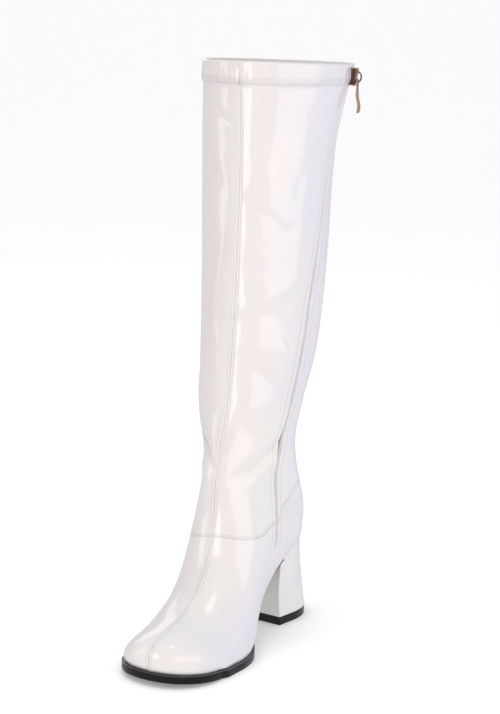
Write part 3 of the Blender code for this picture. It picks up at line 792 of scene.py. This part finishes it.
heelSettings = {
    "turn": math.radians(-5), "tip": 6.8 * mm, "gap": 0.3 * mm, "breastWidth": 0.95,
    # share of the height, breast, back, widest place, half width, square, in millimetres
    "rings": np.array([
        (0.00, 26.8, 26.8, -6.7, 27.2, 2.30),
        (0.30, 27.0, 23.6, -8.0, 26.0, 2.25),
        (0.65, 27.3, 19.4, -10.0, 26.4, 2.10),
        (1.00, 27.7, 16.2, -13.0, 28.6, 1.95),
    ]),
    "around": 46, "up": 26, "corner": 1.3 * mm,
}


def heelRing(share, steps):
    # one ring in plan, from the middle of the breast round the back, once about
    h = heelSettings
    shares = h["rings"][:, 0]
    at = np.interp(share, shares, np.arange(len(shares)))
    _, breast, back, widest, width, square = smoothRow(h["rings"], at) * mm
    square /= mm
    angle = np.linspace(0, math.pi / 2, 40)
    xs = np.r_[0, h["breastWidth"] * width, width * np.cos(angle) ** (2 / square)]
    ys = np.r_[-breast, -breast, widest + (back - widest) * np.sin(angle) ** (2 / square)]
    xs[-1] = 0
    half = np.c_[xs, ys]
    corner = int(steps * 0.3)
    runs = np.r_[0, np.cumsum(np.linalg.norm(np.diff(half[1:], axis=0), axis=1))]
    even = np.linspace(0, runs[-1], steps - corner + 1)
    front = np.linspace(0, 1, corner + 1)[:, None] * half[1]
    front[:, 1] = -breast
    side = np.c_[np.interp(even, runs, half[1:, 0]), np.interp(even, runs, half[1:, 1])]
    right = np.vstack([front, side[1:]])
    loop = np.vstack([right, (right * (-1, 1))[-2::-1]])
    turn = np.array(Matrix.Rotation(h["turn"], 2))
    return loop @ turn.T


def shapeHeel():
    h = heelSettings
    bm = bmesh.new()
    foot = h["tip"] + h["gap"]

    def layout(columns, rows):
        points = []
        for share in np.linspace(0, 1, rows):
            ring = heelRing(share, (columns - 1) // 2)
            top = featherAt(ring[:, 1]) - h["gap"]
            points.append(np.c_[ring, foot + share * (top - foot)])
        return np.array(points)

    laidGrid(bm, 2 * h["around"], h["up"], layout)
    bmesh.ops.remove_doubles(bm, verts=bm.verts, dist=1e-6)
    bmesh.ops.holes_fill(bm, edges=[e for e in bm.edges if e.is_boundary], sides=0)
    bmesh.ops.recalc_face_normals(bm, faces=bm.faces)
    corners = [e for e in bm.edges if e.is_manifold and e.calc_face_angle() > math.radians(40)
               and abs(e.verts[0].co.z - e.verts[1].co.z) > 1 * mm]
    bmesh.ops.bevel(bm, geom=corners, offset=h["corner"], segments=3, profile=0.5,
                    affect="EDGES", material=-1, clamp_overlap=True)
    toObject(bm, "heelWrap", "boot", [patentHeel], ["heel"])

    ring = heelRing(0, h["around"])
    half = h["around"]
    halves = [ring[:half + 1], ring[::-1][:half + 1]]
    bm = slab(halves, lambda y: np.full_like(y, h["tip"]), lambda y: 0.0, 0.4 * mm)
    rise = bm.verts.layers.float_vector["edgeRise"]
    for vert in bm.verts:
        # capped below the band where the sole's edge gets its painted highlight
        vert[rise] = (min(vert.co.z / h["tip"], 0.78), 0, 0)
    for face in bm.faces:
        face.material_index = 1 if face.normal.z < -0.7 else 0
    toObject(bm, "heelTip", "boot", [soleBlack, treadBlack], ["top_piece"])


shapeHeel()
print("heel laid")


insoleSettings = {"inset": -3.4 * mm, "back": 13.7, "thickness": 2.0 * mm, "gap": 0.3 * mm}


def shapeInsole():
    s = insoleSettings
    halves = movedOut(featherHalves(s["back"], s["back"], 110),
                      lambda y: np.full_like(y, s["inset"]))
    bm = slab(halves, lambda y: featherAt(y) + s["gap"] + s["thickness"],
              lambda y: featherAt(y) + s["gap"], 0.5 * mm)
    toObject(bm, "insoleSock", "boot", [lining], ["insole"])


shapeInsole()


zipSettings = {
    "pitch": 1.4 * mm, "toothLong": 1.05 * mm, "toothThick": 0.62 * mm, "toothDeep": 0.55 * mm,
    "offset": 0.58 * mm, "sink": 0.55 * mm, "steps": 200,
}


def surfaceFrame(at, place):
    here = bootPoint(at, place)
    up = bootPoint(at + 0.02, place) - bootPoint(at - 0.02, place)
    around = bootPoint(at, place + 0.01) - bootPoint(at, place - 0.01)
    out = Vector(np.cross(up, around)).normalized()
    return Vector(here), (-out if out.x < 0 else out)


def shapeZip():
    z = zipSettings
    reach = np.linspace(0, len(zipMarks) - 1, z["steps"])
    marks = np.array([smoothRow(zipMarks, share) for share in reach])
    frames = [surfaceFrame(*mark) for mark in marks]
    points = np.array([here for here, _ in frames])
    runs = np.r_[0, np.cumsum(np.linalg.norm(np.diff(points, axis=0), axis=1))]
    tooth = bmesh.new()
    bmesh.ops.create_uvsphere(tooth, u_segments=8, v_segments=5, radius=1)
    bmesh.ops.scale(tooth, vec=(z["toothLong"], z["toothThick"], z["toothDeep"]),
                    verts=tooth.verts)
    toothMesh = bpy.data.meshes.new("tooth")
    tooth.to_mesh(toothMesh)
    tooth.free()
    bm = bmesh.new()
    for run in np.arange(10 * mm, runs[-1] - 1 * mm, z["pitch"]):
        i = min(int(np.searchsorted(runs, run)), len(frames) - 2)
        share = (run - runs[i - 1]) / (runs[i] - runs[i - 1])
        here = frames[i - 1][0].lerp(frames[i][0], share)
        out = frames[i - 1][1].lerp(frames[i][1], share).normalized()
        along = (frames[i][0] - frames[i - 1][0]).normalized()
        side = along.cross(out).normalized()
        for half in (-1, 1):
            place = Matrix((side, along, out)).transposed().to_4x4()
            place.translation = here + side * z["offset"] * half - out * z["sink"] + along * (
                z["pitch"] / 2 if half > 0 else 0)
            copy = toothMesh.copy()
            copy.transform(place)
            bm.from_mesh(copy)
            bpy.data.meshes.remove(copy)
    bpy.data.meshes.remove(toothMesh)
    toObject(bm, "zipCoil", "boot", [coilNylon], ["zip_chain"])


shapeZip()
print("zip laid")


sliderSettings = {
    "at": 25.60, "lift": 2.55 * mm, "width": 8.4 * mm, "length": 14.0 * mm, "thick": 3.0 * mm,
    "skirt": 1.9 * mm, "taper": 0.70, "bevel": 0.28 * mm, "crownInset": 1.1 * mm,
    "crownRise": 0.35 * mm, "recessInset": 0.95 * mm, "recessDepth": 0.9 * mm,
    "wire": 0.7 * mm, "reach": 5.2 * mm, "rise": 4.8 * mm, "wireWide": 1.35,
    "pivotDown": 1.5 * mm, "pivotOut": 1.15 * mm,
}
pullSettings = {
    "width": 5.0 * mm, "thick": 1.1 * mm, "slotWide": 2.6 * mm, "slotLong": 6.0 * mm,
    "length": 26.5 * mm, "bow": 1.3 * mm, "bodyThick": 0.9 * mm, "waist": 0.22,
    "tipNarrow": 0.30, "tipStarts": 0.93, "edge": 0.28 * mm, "columns": 8, "rows": 54,
}


def sliderPlaces():
    s = sliderSettings
    here, out = surfaceFrame(s["at"], zipPlace(min(s["at"], 25.75)))
    side = Vector((0, 0, 1)).cross(out).normalized()
    lean = Matrix((side, out.cross(side), out)).transposed().to_4x4()
    lean.translation = here + out * s["lift"]
    outward = side.cross(Vector((0, 0, 1)))
    plumb = Matrix((side, Vector((0, 0, 1)), outward)).transposed().to_4x4()
    plumb.translation = lean @ Vector((0, -s["pivotDown"], s["thick"] + s["pivotOut"]))
    return lean, plumb


def shapeSlider():
    s = sliderSettings
    lean, plumb = sliderPlaces()
    bm = bmesh.new()
    block = bmesh.ops.create_cube(bm, size=1)["verts"]
    bmesh.ops.scale(bm, vec=(s["width"], s["length"], s["thick"]), verts=block)
    bmesh.ops.translate(bm, vec=(0, 0, s["thick"] / 2), verts=block)
    bmesh.ops.translate(bm, vec=(0, 0, -s["skirt"]), verts=[v for v in block if v.co.z < 1e-5])
    bmesh.ops.scale(bm, vec=(s["taper"], 1, 1), verts=[v for v in block if v.co.y < 0])
    crown = [f for f in bm.faces if f.normal.z > 0.9]
    bmesh.ops.inset_region(bm, faces=crown, thickness=s["crownInset"], depth=s["crownRise"])
    sides = [f for f in bm.faces if abs(f.normal.x) > 0.9]
    bmesh.ops.inset_individual(bm, faces=sides, thickness=s["recessInset"],
                               depth=-s["recessDepth"])
    # the side recesses take the second material, a painted shade
    for face in sides:
        face.material_index = 1
    bmesh.ops.bevel(bm, geom=bm.edges[:], offset=s["bevel"], segments=2, profile=0.5,
                    affect="EDGES", material=-1, clamp_overlap=True)

    ring = bmesh.ops.create_circle(bm, segments=12, radius=s["wire"], cap_ends=True)["verts"]
    bmesh.ops.scale(bm, vec=(s["wireWide"], 1, 1), verts=ring)
    bmesh.ops.translate(bm, vec=(0, -s["reach"] + s["wire"], 0), verts=ring)
    loop = set(ring)
    edges = [e for e in bm.edges if set(e.verts) <= loop]
    faces = [f for f in bm.faces if set(f.verts) <= loop]
    bmesh.ops.spin(bm, geom=ring + edges + faces, cent=(0, 0, 0), axis=(1, 0, 0),
                   angle=-math.pi, steps=22, use_duplicate=False)
    arch = islandOf(ring)
    bmesh.ops.scale(bm, vec=(1, 1, s["rise"] / s["reach"]), verts=arch)
    bmesh.ops.translate(bm, vec=(0, 0, s["thick"] - 0.4 * mm), verts=arch)
    bmesh.ops.recalc_face_normals(bm, faces=bm.faces)
    bmesh.ops.transform(bm, matrix=lean, verts=bm.verts)
    toObject(bm, "zipSlider", "boot", [roseGold, recessShadeGold], ["zip_slider"])


def islandOf(start):
    # every vertex joined to the first ones
    found, queue = set(start), list(start)
    while queue:
        vert = queue.pop()
        for edge in vert.link_edges:
            other = edge.other_vert(vert)
            if other not in found:
                found.add(other)
                queue.append(other)
    return list(found)


def shapePull():
    p = pullSettings
    _, plumb = sliderPlaces()
    bar = p["thick"] / 2

    def share(down):
        # 0 at the slot's end, 1 at the tip
        return np.clip((down - p["slotLong"]) / (p["length"] - p["slotLong"]), 0, 1)

    def layout(columns, rows):
        downs = np.r_[-bar, bar, np.linspace(p["slotLong"], p["length"], rows - 2)]
        points = []
        for down in downs:
            t = share(down)
            # a slack S in side view, a waist and a rounded tip in front view
            bow = p["bow"] * (0.2 * t - np.sin(2 * math.pi * t) * 0.75 * t ** 0.4)
            half = p["width"] / 2 * (1 - p["waist"] * np.sin(math.pi * min(t / 0.9, 1)))
            half *= 1 - p["tipNarrow"] * soften(t, p["tipStarts"], 1.0) ** 2
            slot = p["slotWide"] / 2
            xs = np.r_[-half, -(half + slot) / 2, np.linspace(-slot, slot, columns - 4),
                       (half + slot) / 2, half]
            points.append(np.c_[xs, np.full(columns, -down), np.full(columns, bow)])
        return np.array(points)

    bm = bmesh.new()
    laidGrid(bm, p["columns"], p["rows"], layout)
    slot = [f for f in bm.faces if -p["slotLong"] < f.calc_center_median().y < -bar
            and abs(f.calc_center_median().x) < p["slotWide"] / 2]
    bmesh.ops.delete(bm, geom=slot, context="FACES")
    pressed = bmesh.ops.extrude_face_region(bm, geom=bm.faces[:])["geom"]
    back = {v for v in pressed if isinstance(v, bmesh.types.BMVert)}
    for vert in bm.verts:
        body = float(soften(share(-vert.co.y), 0.0, 0.25))
        vert.co.z += -bar if vert in back else bar + body * p["bodyThick"]
    bmesh.ops.recalc_face_normals(bm, faces=bm.faces)
    bmesh.ops.transform(bm, matrix=plumb, verts=bm.verts)
    pull = toObject(bm, "zipPull", "pull", [roseGold], ["zip_pull"])
    edge = pull.modifiers.new("edge", "BEVEL")
    edge.width = p["edge"]
    edge.segments = 3
    edge.limit_method = "ANGLE"
    edge.angle_limit = math.radians(50)


shapeSlider()
shapePull()
print("slider and pull laid")


# The camera stands where the photograph's did, to the boot.
cameraSettings = {
    "place": (0.7653, -1.3730, 0.5350), "yaw": 29.98, "pitch": 11.09, "roll": 1.128,
    "focalPixels": 1944.7, "centre": (250.0, 347.1), "picture": (500, 714), "sensor": 36.0,
}

stageSettings = {
    "floor": (0.93, 0.93, 0.93), "floorGlow": 0.20, "floorWide": 9.0, "floorFront": -5.0,
    "floorBack": 2.2, "sweep": 1.6, "backdropHigh": 5.0,
    "turn": math.radians(cameraSettings["yaw"]),
    "world": (0.98, 0.97, 1.0), "worldStrength": 0.73,
    # name, place, target, width, height, power, whether the gloss shows it, colour
    "lamps": [
        ("side box", (1.25, -0.56, 0.62), (0, -0.05, 0.62), 1.75, 1.15, 4.2, True,
         (0.95, 0.975, 1.0)),
        ("front strip", (-0.55, -2.0, 0.72), (0, -0.05, 0.28), 0.5, 1.35, 3.0, True,
         (1.0, 0.99, 0.97)),
        ("left strip", (-1.75, -1.05, 0.70), (0, -0.05, 0.25), 0.5, 1.3, 1.8, True,
         (1.0, 0.94, 0.91)),
        ("top", (-0.04, -0.26, 2.05), (0, -0.1, 0.05), 0.95, 0.95, 6.2, False, (1.0, 1.0, 1.0)),
        ("glint", (-0.06, -0.02, 2.05), (0, -0.1, 0.05), 0.32, 0.32, 0.45, True,
         (1.0, 1.0, 0.98)),
        ("back left", (-1.44, 1.04, 0.80), (0, -0.1, 0.1), 1.0, 0.6, 1.1, True,
         (1.0, 0.99, 0.98)),
    ],
}


def buildStage():
    s = stageSettings
    bm = bmesh.new()
    for vert in bmesh.ops.create_grid(bm, x_segments=1, y_segments=1, size=1)["verts"]:
        y = s["floorBack"] if vert.co.y > 0 else s["floorFront"]
        vert.co = (vert.co.x * s["floorWide"], y, 0)
    far = [e for e in bm.edges if all(v.co.y > 0 for v in e.verts)]
    swept = bmesh.ops.spin(bm, geom=far, cent=(0, s["floorBack"], s["sweep"]), axis=(1, 0, 0),
                           angle=math.pi / 2, steps=24, use_merge=False)["geom_last"]
    rim = [item for item in swept if isinstance(item, bmesh.types.BMEdge)]
    raised = bmesh.ops.extrude_edge_only(bm, edges=rim)["geom"]
    for vert in [item for item in raised if isinstance(item, bmesh.types.BMVert)]:
        vert.co.z = s["backdropHigh"]
    bmesh.ops.remove_doubles(bm, verts=bm.verts, dist=1e-5)
    bmesh.ops.recalc_face_normals(bm, faces=bm.faces)
    bmesh.ops.rotate(bm, matrix=Matrix.Rotation(s["turn"], 3, "Z"), verts=bm.verts)
    mesh = bpy.data.meshes.new("floor")
    bm.to_mesh(mesh)
    bm.free()
    mesh.shade_smooth()
    floor = bpy.data.objects.new("floor", mesh)
    bpy.context.scene.collection.objects.link(floor)
    pale = Finish("pale floor", Roughness=0.9, Specular_IOR_Level=0.1,
                  Base_Color=(*s["floor"], 1), Emission_Color=(1, 1, 1, 1),
                  Emission_Strength=s["floorGlow"])
    mesh.materials.append(pale.material)
    floor.visible_glossy = False

    world = bpy.data.worlds.new("studio")
    bpy.context.scene.world = world
    world.use_nodes = True
    sky = world.node_tree.nodes["Background"]
    sky.inputs["Color"].default_value = (*s["world"], 1)
    sky.inputs["Strength"].default_value = s["worldStrength"]

    for name, place, target, width, height, power, shines, colour in s["lamps"]:
        light = bpy.data.lights.new(name, "AREA")
        light.shape = "RECTANGLE"
        light.size, light.size_y = width, height
        light.energy, light.color = power, colour
        lamp = bpy.data.objects.new(name, light)
        lamp.visible_glossy = shines
        bpy.context.scene.collection.objects.link(lamp)
        lamp.location = place
        lamp.rotation_euler = (Vector(target) - Vector(place)).to_track_quat("-Z", "Y").to_euler()


def placeCamera():
    c = cameraSettings
    yaw, pitch, roll = (math.radians(c[name]) for name in ("yaw", "pitch", "roll"))
    look = Vector((-math.sin(yaw) * math.cos(pitch), math.cos(yaw) * math.cos(pitch),
                   -math.sin(pitch)))
    right = look.cross(Vector((0, 0, 1))).normalized()
    up = right.cross(look)
    rolledRight = math.cos(roll) * right + math.sin(roll) * up
    rolledUp = math.cos(roll) * up - math.sin(roll) * right
    data = bpy.data.cameras.new("camera")
    data.sensor_width = c["sensor"]
    long = max(c["picture"])
    data.lens = c["focalPixels"] * c["sensor"] / long
    data.shift_x = (c["picture"][0] / 2 - c["centre"][0]) / long
    data.shift_y = (c["centre"][1] - c["picture"][1] / 2) / long
    camera = bpy.data.objects.new("camera", data)
    bpy.context.scene.collection.objects.link(camera)
    matrix = Matrix((rolledRight, rolledUp, -look)).transposed().to_4x4()
    matrix.translation = c["place"]
    camera.matrix_world = matrix
    bpy.context.scene.camera = camera


buildStage()
placeCamera()
bpy.context.scene.view_settings.view_transform = "Standard"
print("stage and camera set")
